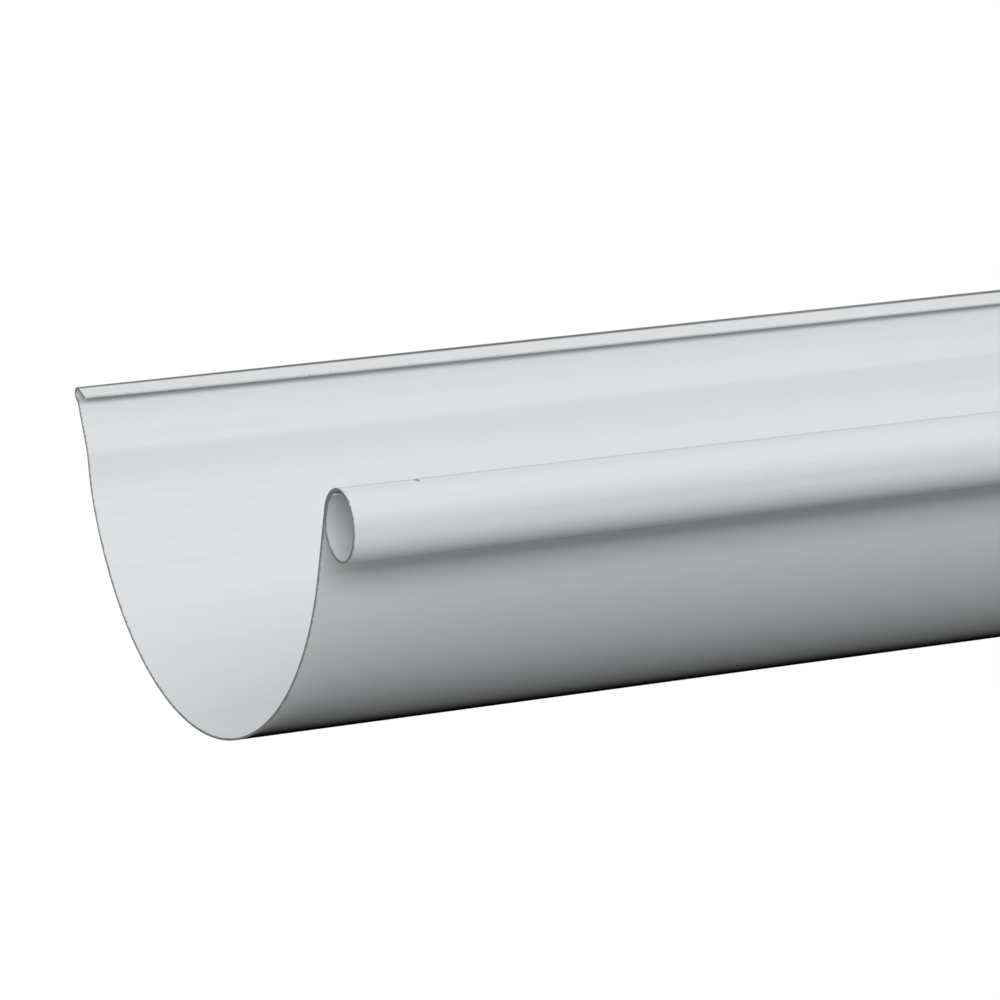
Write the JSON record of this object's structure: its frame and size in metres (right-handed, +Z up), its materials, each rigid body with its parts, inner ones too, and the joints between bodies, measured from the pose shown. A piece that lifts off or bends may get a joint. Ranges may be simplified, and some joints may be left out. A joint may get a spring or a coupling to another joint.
{
  "type": "half-round gutter section",
  "caption": "Length of half-round roof gutter in thin coated steel, with a rolled front bead, a flared back wall and a folded back edge, open at the ends.",
  "frame": {"origin": "on the floor that the gutter lies on, under the middle of its length and of its overall width", "axes": "+X along the gutter's length, +Y towards the back (wall side, the folded edge), -Y towards the front (street side, the rolled bead), +Z up. The gutter lies as it comes to rest: turned 22 degrees about its length from the way it hangs on a roof, with the bead low"},
  "size_m": [2, 0.1632, 0.1051],
  "materials": {
    "coated_steel": "satin light silver-grey coil coating, with bare cut edges"
  },
  "bodies": {
    "root": {"gutter_section": "coated_steel"}
  },
  "joints": []
}
